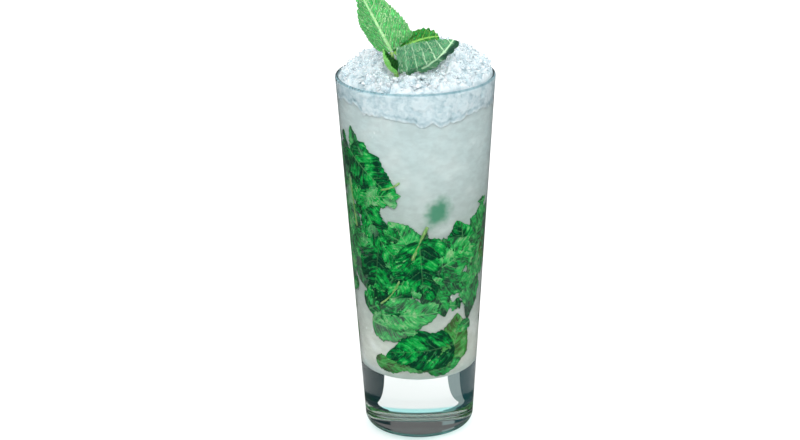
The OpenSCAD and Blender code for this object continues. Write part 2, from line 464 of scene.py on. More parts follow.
def gridNormals(points):
    along = np.gradient(points, axis=0)
    across = np.gradient(points, axis=1)
    way = np.cross(across, along)
    size = np.linalg.norm(way, axis=2, keepdims=True)
    return way / np.maximum(size, 1e-12)


def makeVeinGroup():
    tree, ins, outs = newGroup(
        "mintVeins",
        [("Pitch", "f"), ("Vein Width", "f"), ("Net Scale", "f")],
        [("Ribs", "f"), ("Net", "f"), ("Height", "f")])
    phase = split(tree, attribute(tree, "veinPlace")["Vector"])
    flat = attribute(tree, "leafPlace")["Vector"]
    wobble = grain(tree, flat, 0.5, 3.0)
    wobble = times(tree, maths(tree, "SUBTRACT", wobble, 0.5), 0.5)
    uneven = maths(tree, "ADD", phase["X"], wobble)
    toVein = maths(tree, "ABSOLUTE", maths(tree, "SUBTRACT", maths(tree, "FRACT", uneven), 0.5))
    toVein = times(tree, toVein, ins["Pitch"])
    thin = times(tree, ins["Vein Width"], ease(tree, phase["Y"], 0.0, 1.0, 1.0, 0.45))
    side = ease(tree, maths(tree, "DIVIDE", toVein, thin), 1.0, 0.2)
    ribW = times(tree, ins["Vein Width"], ease(tree, phase["Z"], 0.0, 1.0, 2.2, 0.9))
    acrossMm = maths(tree, "ABSOLUTE", split(tree, flat)["Y"])
    rib = times(tree, ease(tree, maths(tree, "DIVIDE", acrossMm, ribW), 1.0, 0.35),
                ease(tree, phase["Z"], -0.05, 0.0))
    # the net lies in bars between the side veins, so it is laid out along them
    barPlace = add(tree, "ShaderNodeCombineXYZ", {"X": times(tree, uneven, ins["Pitch"]),
                                                  "Y": times(tree, acrossMm, 0.75)}).outputs[0]
    bend = add(tree, "ShaderNodeTexNoise", {"Vector": flat, "Scale": 0.7}).outputs["Color"]
    bent = add(tree, "ShaderNodeVectorMath", {0: barPlace, 1: bend}, operation="ADD").outputs[0]
    cells = add(tree, "ShaderNodeTexVoronoi", {"Vector": bent, "Scale": ins["Net Scale"]},
                feature="DISTANCE_TO_EDGE").outputs["Distance"]
    net = ease(tree, cells, 0.085, 0.0)
    tree.links.new(maths(tree, "MAXIMUM", side, rib), outs["Ribs"])
    tree.links.new(net, outs["Net"])
    swell = maths(tree, "SUBTRACT", ease(tree, cells, 0.0, 0.35), times(tree, side, 0.8))
    tree.links.new(maths(tree, "SUBTRACT", swell, rib), outs["Height"])
    return tree


veinGroup = makeVeinGroup()


def useVeins(tree, look):
    return useGroup(tree, veinGroup, {"Pitch": look["pitch"], "Vein Width": look["veinWidth"],
                                      "Net Scale": look["netScale"]})


def makeLeafMaterial(name, look):
    made, tree, shader = newMaterial(name)
    veins = useVeins(tree, look)
    place = attribute(tree, "leafPlace")["Vector"]
    patches = ease(tree, grain(tree, place, 0.35, 3.0), 0.35, 0.68)
    colour = mixColour(tree, patches, look["dark"], look["light"])
    # painted shade: the creases along the veins are darkened
    creaseShadeMask = ease(tree, veins["Height"], 0.65, 0.05)
    colour = mixColour(tree, times(tree, creaseShadeMask, look["creaseShadeAmount"]), colour, look["creaseShade"])
    colour = mixColour(tree, times(tree, veins["Net"], look["netAmount"]), colour, look["vein"])
    colour = mixColour(tree, times(tree, veins["Ribs"], look["ribAmount"]), colour, look["vein"])
    # painted shade: the half of a leaf turned from the light, and the curled leaf's hollow, are darkened by
    # the leafShade attribute
    shade = attribute(tree, "leafShade")["Fac"]
    shadeColour = mixColour(tree, times(tree, veins["Net"], 0.2), look["shadeColour"], look["dark"])
    colour = mixColour(tree, shade, colour, shadeColour)
    setInputs(tree, shader, {
        "Base Color": colour, "Roughness": look["roughness"], "Specular IOR Level": look["specular"],
        "Subsurface Weight": look["glow"], "Subsurface Radius": (0.5, 1.0, 0.3),
        "Subsurface Scale": 1.5 * mm,
        "Normal": relief(tree, veins["Height"], look["bump"], look["bumpDepth"])})
    return made


upperLook = {
    "dark": (0.042, 0.43, 0.095, 1), "light": (0.18, 0.82, 0.24, 1), "vein": (0.52, 0.92, 0.44, 1),
    "creaseShade": (0.012, 0.19, 0.045, 1), "creaseShadeAmount": 1, "netAmount": 0.75, "ribAmount": 0.85,
    "shadeColour": (0.03, 0.27, 0.06, 1),
    "pitch": 4.1, "veinWidth": 0.42, "netScale": 0.72, "roughness": 0.42, "specular": 0.4, "glow": 0.2,
    "bump": 0.9, "bumpDepth": 0.4 * mm,
}
underLook = {
    "dark": (0.045, 0.23, 0.105, 1), "light": (0.14, 0.45, 0.21, 1), "vein": (0.52, 0.80, 0.50, 1),
    "creaseShade": (0.015, 0.13, 0.05, 1), "creaseShadeAmount": 0.85, "netAmount": 0.6, "ribAmount": 1,
    "shadeColour": (0.012, 0.075, 0.040, 1),
    "pitch": 7.2, "veinWidth": 0.5, "netScale": 0.62, "roughness": 0.55, "specular": 0.25, "glow": 0.1,
    "bump": -0.6, "bumpDepth": 0.3 * mm,
}
darkLook = dict(upperLook, dark=(0.008, 0.22, 0.03, 1), light=(0.035, 0.62, 0.095, 1),
                vein=(0.36, 0.80, 0.16, 1), creaseShade=(0.006, 0.12, 0.02, 1), netAmount=0.4)
curledLook = dict(upperLook, dark=(0.16, 0.80, 0.09, 1), light=(0.36, 0.96, 0.24, 1), netAmount=0.35,
                  vein=(0.52, 0.92, 0.30, 1), shadeColour=(0.0005, 0.09, 0.008, 1), creaseShadeAmount=0.3, glow=0)
mintUpper = makeLeafMaterial("mintUpper", upperLook)
mintUnder = makeLeafMaterial("mintUnder", underLook)
mintDark = makeLeafMaterial("mintDark", darkLook)
mintYoung = makeLeafMaterial("mintYoung", curledLook)

# the garnish
stemLow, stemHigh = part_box("mint_stem")
sprigShape = {"stemR": 1.0 * mm, "stemLength": 9.6 * mm, "seat": 0.2 * mm, "leafThick": 0.32 * mm,
              "cadThick": 0.6 * mm}
stemR = sprigShape["stemR"]
foot = np.array([stemHigh.x - stemR, stemLow.y + stemR, stemLow.z])


def unit(v):
    return np.asarray(v, float) / np.linalg.norm(v)


stemWay = unit((-1.9, 1.3, 9.6))
stemTop = foot + sprigShape["stemLength"] * stemWay
sideStep = stemR + sprigShape["cadThick"] / 2 + sprigShape["seat"]
# start is where the leaf grows, bend and tip are steps from there in shares of its length
garnish = {
    "mintLeafTall": {
        "node": "mint_leaf_tall", "start": stemTop + 0.5 * mm * stemWay, "length": 29 * mm,
        "bend": (-0.216, 0.018, 0.451), "tip": (-0.454, 0.093, 0.887), "face": (0.1, -1, 0.15),
        "half": (11.3 * mm, 11.3 * mm), "folds": (56, 5), "widest": (0.3, 0.08), "full": 0.7,
        "pucker": 0.42 * mm, "wave": 0.5 * mm, "seed": 3, "upper": mintUpper, "under": mintUnder,
        "veins": {"pairs": 7, "lean": 0.62, "curve": 1.1}, "shadeLeft": 0.3, "shadeRight": 0},
    "mintLeafSide": {
        "node": "mint_leaf_side", "start": foot + (sideStep, -0.5 * mm, 1.1 * mm), "length": 27.5 * mm,
        "bend": (0.493, -0.037, 0.134), "tip": (0.890, 0.073, 0.448), "face": (-0.1, 1, 0.1),
        "half": (6.2 * mm, 10.8 * mm), "folds": (-38, -8), "widest": (0.4, 0.08), "full": 0.62,
        "pucker": 0.5 * mm, "wave": 0.4 * mm, "seed": 7, "upper": mintDark, "under": mintUnder,
        "veins": {"pairs": 3.4, "lean": 0.34, "curve": 1.25}, "rib": ((9.2, -2.8), (24.4, 1.6)),
        "shadeLeft": 1, "shadeRight": 0},
    "mintLeafBack": {
        "node": "mint_leaf_back", "length": 20 * mm,
        "start": foot + 0.92 * sprigShape["stemLength"] * stemWay + (stemR, 0.7 * mm, 0),
        "bend": (0.44, 0.05, 0.33), "tip": (0.92, 0.30, 0.28), "face": (0.1, -0.7, 0.7),
        "half": (6.2 * mm, 6.2 * mm), "folds": (15, 15), "widest": (0.3, 0.3), "full": 0.3,
        "pucker": 1.1 * mm, "wave": 0.3 * mm, "seed": 12, "tooth": 0.15 * mm,
        "upper": mintDark, "under": mintUnder, "veins": {"pairs": 7, "lean": 0.4, "curve": 1.2},
        "shadeLeft": 0, "shadeRight": 0},
    "mintLeafCurled": {
        "node": "mint_leaf_curled", "start": foot + (0.2 * mm, -2.4 * mm, 1 * mm), "length": 12 * mm,
        "bend": (-0.51, 0.02, 0.22), "tip": (-0.46, 0.18, 0.86), "face": (0.85, -0.45, 0.5),
        "half": (5.4 * mm, 5.0 * mm), "folds": (-52, -50), "widest": (0.3, 0.3), "full": 0.6,
        "pucker": 0.4 * mm, "wave": 0.25 * mm, "seed": 21, "upper": mintYoung, "under": mintYoung,
        "veins": {"pairs": 6, "lean": 0.5, "curve": 1.2}, "shadeLeft": 0, "shadeRight": 1},
}
garnishGrid = {"rows": 150, "cols": 96, "teeth": 14, "toothDepth": 0.7 * mm}


def ribPlace(leaf, flat):
    # along and across the midrib, which may be drawn off the middle of the sheet
    if "rib" not in leaf:
        return flat[..., 0] * mm / leaf["length"], flat[..., 1] * mm / max(leaf["half"]), flat
    start, end = np.array(leaf["rib"])
    way, size = unit(end - start), np.linalg.norm(end - start)
    along = (flat[..., 0] - start[0]) * way[0] + (flat[..., 1] - start[1]) * way[1]
    across = (flat[..., 1] - start[1]) * way[0] - (flat[..., 0] - start[0]) * way[1]
    return along / size, across * mm / max(leaf["half"]), np.stack([along, across, 0 * along], axis=2)


def leafSurface(leaf, s, t):
    a = np.asarray(leaf["start"])
    b = a + leaf["length"] * np.asarray(leaf["bend"])
    c = a + leaf["length"] * np.asarray(leaf["tip"])
    rows, cols = s.shape
    points = np.zeros((rows, cols, 3))
    flat = np.zeros((rows, cols, 3))
    for i in range(rows):
        k = s[i, 0]
        way = unit((1 - k) * (b - a) + k * (c - b))
        side = unit(np.cross(way, leaf["face"]))
        up = np.cross(side, way)
        middle = bezier(a, b, c, k)
        for hand, half in ((-1, 0), (1, 1)):
            pick = t[i] < 0 if hand < 0 else t[i] >= 0
            # the fold eases in beside the midrib instead of making a hard crease
            fold = math.radians(leaf["folds"][half])
            w = leafOutline(np.array([k]), leaf["half"][half], leaf["widest"][half], leaf["full"],
                            garnishGrid["teeth"], leaf.get("tooth", garnishGrid["toothDepth"]))[0]
            d = np.abs(t[i][pick])
            soft = np.clip(d / 0.12, 0, 1)
            turn = fold * (0.35 + 0.65 * soft * (2 - soft))
            points[i, pick] = middle + (d * w)[:, None] * (
                hand * np.cos(turn)[:, None] * side - np.sin(turn)[:, None] * up)
            flat[i, pick, 0] = k * leaf["length"] / mm
            flat[i, pick, 1] = hand * d * w / mm
    return points, flat


def makeGarnishLeaf(name, leaf):
    rows, cols = garnishGrid["rows"], garnishGrid["cols"]
    s, t = leafGrid(rows, cols)
    points, flat = leafSurface(leaf, s, t)
    normals = gridNormals(points)
    ribS, ribT, flat = ribPlace(leaf, flat)
    lift = puckers(ribS, ribT, leaf["length"], max(leaf["half"]), leaf["seed"], leaf["pucker"], leaf["veins"])
    lift += leaf["wave"] * np.abs(t) ** 2 * np.sin(s * 13 + leaf["seed"] + 2 * np.sign(t))
    points = points + normals * lift[..., None]
    thick = sprigShape["leafThick"] * (0.35 + 0.65 * np.clip((1 - np.abs(t)) * 5, 0, 1))
    top = points + normals * thick[..., None] / 2
    low = points - normals * thick[..., None] / 2
    upper, under, edge = sheetFaces(rows, cols)
    made = newPiece(name, np.concatenate([top.reshape(-1, 3), low.reshape(-1, 3)]),
                    upper + under + edge, [leaf["upper"], leaf["under"]])
    kinds = np.array([0] * len(upper) + [1] * (len(under) + len(edge)))
    made.data.polygons.foreach_set("material_index", kinds)
    vein = np.stack([veinPhase(ribS, ribT, leaf["veins"]), np.abs(ribT), ribS], axis=2).reshape(-1, 3)
    # painted shade: how much each half of the leaf is darkened
    shade = np.where(ribT < 0, leaf["shadeLeft"], leaf["shadeRight"]) * np.clip(np.abs(ribT) * 8, 0, 1)
    shade = shade * np.clip((ribS - 0.45) * 6 if "rib" in leaf else 1 + 0 * s, 0, 1)
    paint(made, "leafShade", np.tile(shade.ravel(), 2))
    paint(made, "veinPlace", np.concatenate([vein, vein]))
    paint(made, "leafPlace", np.concatenate([flat.reshape(-1, 3)] * 2))
    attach(made, "root")
    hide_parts(leaf["node"])


stemLook = {"dark": (0.16, 0.42, 0.08, 1), "light": (0.42, 0.62, 0.24, 1), "roughness": 0.45, "glow": 0.2}


def makeStemMaterial():
    made, tree, shader = newMaterial("mintStem")
    place = objectPlace(tree)
    stripes = add(tree, "ShaderNodeMapping", {"Vector": place, "Scale": (1, 1, 0.15)}).outputs[0]
    ribs = grain(tree, stripes, 1800, 2.0)
    colour = mixColour(tree, ease(tree, ribs, 0.35, 0.65), stemLook["dark"], stemLook["light"])
    setInputs(tree, shader, {
        "Base Color": colour, "Roughness": stemLook["roughness"], "Subsurface Weight": stemLook["glow"],
        "Subsurface Scale": 1 * mm, "Normal": relief(tree, ribs, 0.4, 0.2 * mm)})
    return made


mintStem = makeStemMaterial()


def tube(points, radii, sides):
    # rings round a line of points, closed with a fan at each end
    points = np.asarray(points, float)
    rings = []
    for i, p in enumerate(points):
        way = unit(points[min(i + 1, len(points) - 1)] - points[max(i - 1, 0)])
        across = unit(np.cross(way, (0.2, 1, 0.1)))
        other = np.cross(way, across)
        for j in range(sides):
            a = 2 * math.pi * j / sides
            squarish = 1 + 0.08 * math.cos(4 * a)
            rings.append(p + radii[i] * squarish * (math.cos(a) * across + math.sin(a) * other))
    return [points[0]] + rings + [points[-1]], ringFaces(len(points), sides)


def makeStem():
    steps = 24
    line = [foot - 1.5 * mm * stemWay + (sprigShape["stemLength"] + 1.8 * mm) * stemWay * k / steps
            for k in range(steps + 1)]
    radii = [stemR * (1 - 0.3 * k / steps) * (0.6 if k in (0, steps) else 1) for k in range(steps + 1)]
    verts, faces = tube(line, radii, 16)
    made = newPiece("mintStalk", verts, faces, [mintStem])
    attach(made, "root")
    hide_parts("mint_stem")


for leafName in garnish:
    makeGarnishLeaf(leafName, garnish[leafName])
makeStem()
print("garnish made")

# the muddled mint sunk in the drink, pressed against the wall
# angle round the glass (0 faces -Y, positive to +X), height, turn of the tip from up, length, width,
# layer (higher lies nearer the wall), tone from dark to light, veil of drink over it, brownness
sunkLeaves = [
    (-57, 136, -12, 13, 7, 2, 0.45, 0.05, 0), (-73, 127, 8, 18, 13, 1, 0.35, 0.1, 0),
    (-42, 123, 128, 28, 19, 3, 0.34, 0, 0), (-30, 114, 80, 17, 9, 4, 0.62, 0, 0),
    (-70, 109, 176, 26, 8, 2, 0.6, 0.3, 0), (-46, 107, 165, 21, 14, 2, 0.42, 0, 0),
    (-37, 97, 150, 22, 13, 3, 0.3, 0, 0), (-13, 96, -30, 18, 14, 3, 0.66, 0.05, 0),
    (-54, 91, 20, 18, 15, 2, 0.5, 0.05, 0), (72, 96, 15, 19, 10, 2, 0.5, 0.1, 0),
    (42, 92, -8, 21, 17, 3, 0.36, 0, 0), (17, 89, -45, 19, 15, 2, 0.52, 0, 0),
    (3, 81, 176, 29, 21, 5, 0.22, 0, 0), (-12, 77, 205, 21, 14, 4, 0.4, 0, 0),
    (-40, 78, 190, 27, 20, 3, 0.12, 0, 0), (-62, 78, 170, 19, 13, 2, 0.15, 0.15, 0),
    (38, 86, 62, 29, 20, 4, 0.5, 0.05, 0), (33, 74, 100, 21, 14, 3, 0.36, 0.05, 0),
    (57, 63, 200, 18, 9, 3, 0.14, 0.1, 0), (-7, 60, 85, 27, 17, 3, 0.54, 0.1, 0),
    (-28, 53, 100, 19, 15, 2, 0.5, 0.15, 0), (-32, 65, 60, 23, 15, 2, 0.32, 0.05, 0),
    (1, 43, 264, 30, 19, 5, 0.2, 0, 0), (38, 46, 14, 25, 17, 3, 0.55, 0.03, 0.4),
    (-28, 35, 95, 17, 8, 3, 0.35, 0.05, 0.3), (28, 34, 80, 16, 8, 3, 0.25, 0.05, 0),
    (3, 36, 90, 15, 8, 2, 0.45, 0.1, 0.2), (62, 80, 190, 23, 13, 2, 0.48, 0.1, 0),
    (-18, 86, 130, 20, 13, 3, 0.3, 0, 0), (58, 70, 10, 20, 12, 2, 0.5, 0.1, 0),
    (64, 98, 25, 18, 13, 3, 0.54, 0.05, 0), (-82, 121, 175, 24, 15, 2, 0.12, 0.05, 0),
    (-80, 98, 10, 22, 15, 1, 0.45, 0.1, 0), (-66, 96, 150, 20, 14, 2, 0.42, 0.05, 0),
    (-63, 122, 160, 20, 15, 2, 0.14, 0, 0), (-52, 115, 30, 16, 12, 3, 0.34, 0, 0),
    (78, 84, 185, 24, 15, 1, 0.4, 0.1, 0), (-22, 68, 40, 22, 15, 2, 0.16, 0, 0),
    (18, 68, 150, 20, 14, 2, 0.3, 0.05, 0), (-78, 84, 200, 18, 12, 1, 0.3, 0.1, 0),
]
# angle and height of one end, the middle and the other end, then the width
sunkStems = [
    (8, 101, 2, 95, -5, 86, 1.5), (-17, 76, -24, 68, -37, 64, 0.9),
    (-30, 117, -20, 118, -14, 121, 0.9), (-66, 118, -64, 108, -61, 97, 1.2),
    (118, 92, 124, 80, 121, 66, 1.4), (205, 88, 196, 76, 199, 61, 1.2),
    (248, 99, 243, 88, 250, 74, 1.1),
]
# leaves on the far side and torn scraps: counts, and ranges of height, length and width
sunkSpread = {
    "count": 62, "heights": ((33, 100), (33, 70), (60, 100), (82, 108)), "lengths": (15, 28),
    "widths": (0.45, 0.72), "brownShare": 0.12, "scraps": 70, "scrapLengths": (4, 9), "seed": 5,
    "rows": 40, "cols": 16, "layerStep": 0.15 * mm, "thick": 0.25 * mm, "ragged": 0.16,
}
sunkLook = {
    # from the darkest leaves to the palest
    "tones": ((0.0, (0.0003, 0.045, 0.022, 1)), (0.22, (0.0005, 0.18, 0.040, 1)),
              (0.5, (0.002, 0.52, 0.080, 1)), (0.75, (0.05, 0.70, 0.15, 1)), (1.0, (0.36, 0.74, 0.32, 1))),
    "bruise": (0.07, 0.66, 0.20, 1), "creaseShade": (0.0005, 0.10, 0.03, 1), "rib": (0.26, 0.74, 0.28, 1),
    "marginShade": (0.001, 0.13, 0.035, 1), "brown": (0.20, 0.24, 0.04, 1), "glint": (0.80, 0.92, 0.85, 1),
    "pitch": 2.6, "veinWidth": 0.22, "netScale": 0.9, "roughness": 0.4, "bump": 0.5, "bumpDepth": 0.35 * mm,
}


def makeSunkMaterial():
    made, tree, shader = newMaterial("muddledMint")
    look = sunkLook
    veins = useVeins(tree, look)
    mood = split(tree, attribute(tree, "leafMood")["Vector"])
    place = attribute(tree, "leafPlace")["Vector"]
    veinWay = split(tree, attribute(tree, "veinPlace")["Vector"])
    flatWay = split(tree, place)
    streakPlace = add(tree, "ShaderNodeCombineXYZ", {"X": times(tree, veinWay["X"], 1.9),
                                                     "Y": times(tree, flatWay["Y"], 0.2),
                                                     "Z": times(tree, flatWay["X"], 0.03)}).outputs[0]
    blotch = ease(tree, grain(tree, place, 0.14, 2.0), 0.36, 0.64, -0.36, 0.32)
    # the crumples and folds are lighter and darker streaks in the colour: painted light and shade, over the
    # leaves' own blotches
    crumple = ease(tree, grain(tree, place, 0.42, 4.0, 0.6), 0.38, 0.62, -0.14, 0.14)
    folds = ease(tree, grain(tree, streakPlace, 1.0, 3.0, 0.55), 0.36, 0.64, -0.24, 0.22)
    tone = maths(tree, "ADD", mood["X"], maths(tree, "ADD", blotch, maths(tree, "ADD", crumple, folds)),
                 clamp=True)
    colour = colourRamp(tree, tone, look["tones"])
    bruise = ease(tree, grain(tree, place, 0.4, 3.0, 0.55), 0.60, 0.66)
    # painted shade: the creases along the veins are darkened
    creaseShadeMask = ease(tree, veins["Height"], 0.55, 0.0)
    colour = mixColour(tree, times(tree, bruise, 0.4), colour, look["bruise"])
    colour = mixColour(tree, times(tree, creaseShadeMask, 0.28), colour, look["creaseShade"])
    rib = times(tree, veins["Ribs"], ease(tree, mood["X"], 0.1, 0.6, 0.12, 0.6))
    colour = mixColour(tree, rib, colour, look["rib"])
    # painted shade: each leaf is darkened along its margin, so the leaves stand apart
    colour = mixColour(tree, ease(tree, veinWay["Y"], 0.80, 1.0, 0.0, 0.6), colour, look["marginShade"])
    colour = mixColour(tree, times(tree, mood["Z"], 0.7), colour, look["brown"])
    colour = mixColour(tree, mood["Y"], colour, drinkColour(tree)["Color"])
    # painted highlights: sparse wet glints on the leaves
    glint = ease(tree, grain(tree, place, 2.6, 1.0), 0.74, 0.78)
    colour = mixColour(tree, times(tree, glint, 0.7), colour, look["glint"])
    setInputs(tree, shader, {"Base Color": colour, "Roughness": look["roughness"], "Specular IOR Level": 0.0,
                             "Normal": relief(tree, veins["Height"], look["bump"], look["bumpDepth"])})
    return made


def cornerR(z):
    # the radius of the cavity's rounded corner at a height
    down = np.clip((baseThick + corner - z) / corner, 0, 1)
    return cornerMiddle[0] + corner * np.sqrt(np.clip(1 - down ** 2, 0, 1))


def onWall(angle, z, depth):
    # a place on the cavity wall, by angle in radians and height, with a depth into the glass
    z = np.maximum(z, baseThick + 1.5 * mm)
    wall = np.where(z < baseThick + corner, cornerR(z), cavityR(z))
    r = np.minimum(wall + depth, outerR(z) - 0.3 * mm)
    return np.stack([r * np.sin(angle), -r * np.cos(angle), z], axis=2)


def spreadSunkLeaves(draw):
    leaves = list(sunkLeaves)
    for k in range(sunkSpread["count"]):
        low, high = sunkSpread["heights"][k % 4]
        size = draw.uniform(*sunkSpread["lengths"])
        brown = 0.5 if draw.random() < sunkSpread["brownShare"] else 0
        leaves.append((draw.uniform(84, 276), draw.uniform(low, high), draw.uniform(0, 360), size,
                       size * draw.uniform(*sunkSpread["widths"]), int(draw.integers(1, 6)),
                       draw.uniform(0.08, 0.66), draw.uniform(0, 0.25), brown))
    # torn scraps lie close round the whole leaves
    for k in range(sunkSpread["scraps"]):
        angle, height, turn, size, width = leaves[k % len(leaves)][:5]
        far = draw.uniform(0.25, 0.6) * size
        way = draw.uniform(0, 2 * math.pi)
        scrap = draw.uniform(*sunkSpread["scrapLengths"])
        leaves.append((angle + math.degrees(far * math.sin(way) / 28), max(34, height + far * math.cos(way)),
                       draw.uniform(0, 360), scrap, scrap * draw.uniform(0.4, 0.8), int(draw.integers(2, 7)),
                       draw.uniform(0.1, 0.85), draw.uniform(0, 0.2), 0))
    return leaves


def makeSunkLeaves():
    draw = np.random.default_rng(sunkSpread["seed"])
    pieces, veins, flats, moods = [], [], [], []
    for k, leaf in enumerate(spreadSunkLeaves(draw)):
        angle, height, turn, length, width, layer, tone, veil, brown = leaf
        small = length < 10
        rows, cols = (16, 8) if small else (sunkSpread["rows"], sunkSpread["cols"])
        s, t = leafGrid(rows, cols)
        length, half = length * mm, width * mm / 2
        w = leafOutline(s, half, 0.3, 0.75, 4 if small else 9 + k % 4, 0.9 * mm)
        ragged = noiseOver(s, t, lambda a, b: (a * 5 + 9 * k, 3 * np.sign(b), 1))
        w = w * (1 + ragged * (2.2 if small else 1) * sunkSpread["ragged"] * 2)
        along = (s - 0.5) * length
        across = t * w + draw.uniform(-0.35, 0.35) * half * (2 * s - 1) ** 2
        a = math.radians(turn)
        z = height * mm + along * math.cos(a) - across * math.sin(a)
        around = along * math.sin(a) + across * math.cos(a)
        angles = math.radians(angle) + around / np.maximum(cavityR(z), 5 * mm)
        lift = puckers(s, t, length, half, k, 0.3 * mm, leafVeins)
        crumple = 0.25 * mm * np.sin(along / (2.6 * mm) + k) * np.cos(across / (1.9 * mm) + 2 * k)
        depth = np.maximum((layer + 0.5) * sunkSpread["layerStep"] + lift + crumple, 0.22 * mm)
        top = onWall(angles, z, depth)
        low = onWall(angles, z, depth - sunkSpread["thick"])
        upper, _, edge = sheetFaces(rows, cols)
        # the hidden inner side is left out: only the outer side and its edge are kept
        pieces.append((np.concatenate([top.reshape(-1, 3), low.reshape(-1, 3)]), upper + edge))
        vein = np.stack([veinPhase(s, t, leafVeins), np.abs(t), s], axis=2).reshape(-1, 3)
        flat = np.stack([along / mm + 40 * k, across / mm, 0 * s], axis=2).reshape(-1, 3)
        veins += [vein, vein]
        flats += [flat, flat]
        moods.append(np.tile((tone, veil, brown), (2 * s.size, 1)))
    made = newPiece("muddledMint", *joined(pieces), [makeSunkMaterial()])
    paint(made, "veinPlace", np.concatenate(veins))
    paint(made, "leafPlace", np.concatenate(flats))
    paint(made, "leafMood", np.concatenate(moods))
    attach(made, "root")


def makeSunkStems():
    pieces = []
    for a0, z0, a1, z1, a2, z2, width in sunkStems:
        k = np.linspace(0, 1, 15)[:, None]
        line = onWall(np.radians(bezier(a0, a1, a2, k)), bezier(z0, z1, z2, k) * mm, 0.8 * mm)[:, 0]
        radii = width * mm / 2 * (0.75 + 0.25 * np.sin(k[:, 0] * 9))
        pieces.append(tube(line, radii, 8))
    made = newPiece("muddledStems", *joined(pieces), [mintStem])
    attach(made, "root")


makeSunkLeaves()
makeSunkStems()
print("muddled mint made")

# the crushed ice
iceShape = {
    "rise": 11 * mm, "edge": 1.4 * mm, "lean": 0.05, "lump": 0.8 * mm, "dip": 3 * mm, "dipWide": 14 * mm,
    "dipX": -22 * mm, "coreSink": 0.7 * mm, "around": 360, "rings": 110, "wallRows": 44,
    "lumps": (5.5 * mm, 2.4 * mm, 1.1 * mm), "seed": 11,
    "bedLong": 14 * mm, "bedR": 4.5 * mm, "bedSlope": 0.9,
}
iceLook = {
    "tones": ((0.0, (0.16, 0.26, 0.30, 1)), (0.45, (0.47, 0.60, 0.65, 1)), (1.0, (0.74, 0.82, 0.85, 1))),
    "topTone": 0.56, "wallTone": 0.62,
    "chip": ((0.84, 0.92, 0.94, 1), (0.98, 0.99, 1.0, 1)), "chipLamp": (0.9, 0.93, 0.95, 1),
    "grain": ((0.58, 0.69, 0.72, 1), (0.80, 0.87, 0.90, 1)),
}
# how many, how large and how far sunk into the heap in mm, and the corners of each piece
iceScatter = {
    "iceChips": {"count": 420, "sizes": (2.4, 6.5), "sink": (0.2, 1.8), "corners": 11},
    "iceGrains": {"count": 1500, "sizes": (1.2, 3.6), "sink": (0.3, 1.7), "corners": 12},
}
chipKinds, chipBevel = 24, 0.05
heapR = topR - 0.2 * mm


def heapZ(x, y):
    def wave(a, b):
        return math.sin(math.radians((a * x + b * y) / mm))
    lumps = iceShape["lump"] * (wave(34, 11) + wave(-19, 25) + wave(47, -31) / 2) / 2
    dip = iceShape["dip"] * math.exp(-2 * ((x - iceShape["dipX"]) ** 2 + y * y) / iceShape["dipWide"] ** 2)
    reach = min(1, math.hypot(x, y) / heapR)
    rise = (iceShape["rise"] + lumps - dip) * (1 - reach ** 3)
    return rimZ + iceShape["edge"] + rise + iceShape["lean"] * x


def bedded(x, y):
    # the heap's height, with a hollow where the sprig lies
    bed = foot[2] - sprigShape["seat"]
    beside = math.hypot(x - max(foot[0], min(foot[0] + iceShape["bedLong"], x)), y - foot[1])
    return min(heapZ(x, y), bed + iceShape["bedSlope"] * max(0, beside - iceShape["bedR"]))


def makeIceMaterials():
    milky = {"IOR": 1.31, "Subsurface Weight": 0.4, "Subsurface Radius": (0.8, 1, 1)}
    core, tree, shader = newMaterial("iceCore")
    fine = grain(tree, objectPlace(tree), 700, 4.0, 0.6)
    tone = maths(tree, "ADD", attribute(tree, "iceToneAndShade")["Fac"], ease(tree, fine, 0.3, 0.7, -0.16, 0.16),
                 clamp=True)
    setInputs(tree, shader, dict(
        milky, Roughness=0.15, Normal=relief(tree, fine, 0.45, 0.5 * mm),
        **{"Base Color": colourRamp(tree, tone, iceLook["tones"]), "Subsurface Scale": 2.5 * mm}))
    chip, tree, shader = newMaterial("iceChip")
    place = objectPlace(tree)
    setInputs(tree, shader, {
        "Base Color": mottled(tree, place, 420, 3.0, iceLook["chip"]), "Roughness": 0.12, "IOR": 1.2,
        "Transmission Weight": 0.75, "Normal": relief(tree, grain(tree, place, 900, 2.0), 0.3, 0.3 * mm)})
    letLampsThrough(tree, shader, iceLook["chipLamp"])
    snow, tree, shader = newMaterial("iceGrain")
    setInputs(tree, shader, dict(
        milky, Roughness=0.12,
        **{"Base Color": mottled(tree, objectPlace(tree), 600, 3.0, iceLook["grain"]),
           "Subsurface Scale": 1.5 * mm}))
    return core, chip, snow


def swell(p, size):
    # rounded lumps of about a given size, from 0 in the creases to about 1
    return min(1.0, 2.6 * abs(noise.noise(Vector(p) / size)))


def shard(p, size):
    # broken facets of about a given size: height of the tilted facet here, and a tone of its own
    place, half = Vector(p) / size, Vector((0.5, 0.5, 0.5))
    centre = noise.voronoi(place)[1][0]
    own = noise.cell(centre * 7.31 + half)
    tilt = noise.cell_vector(centre * 5.17 + half) - half
    rise = (place - centre).dot(tilt) * 1.5
    return min(1.0, max(0.0, 0.5 + 0.35 * (own - 0.5) + rise)), own


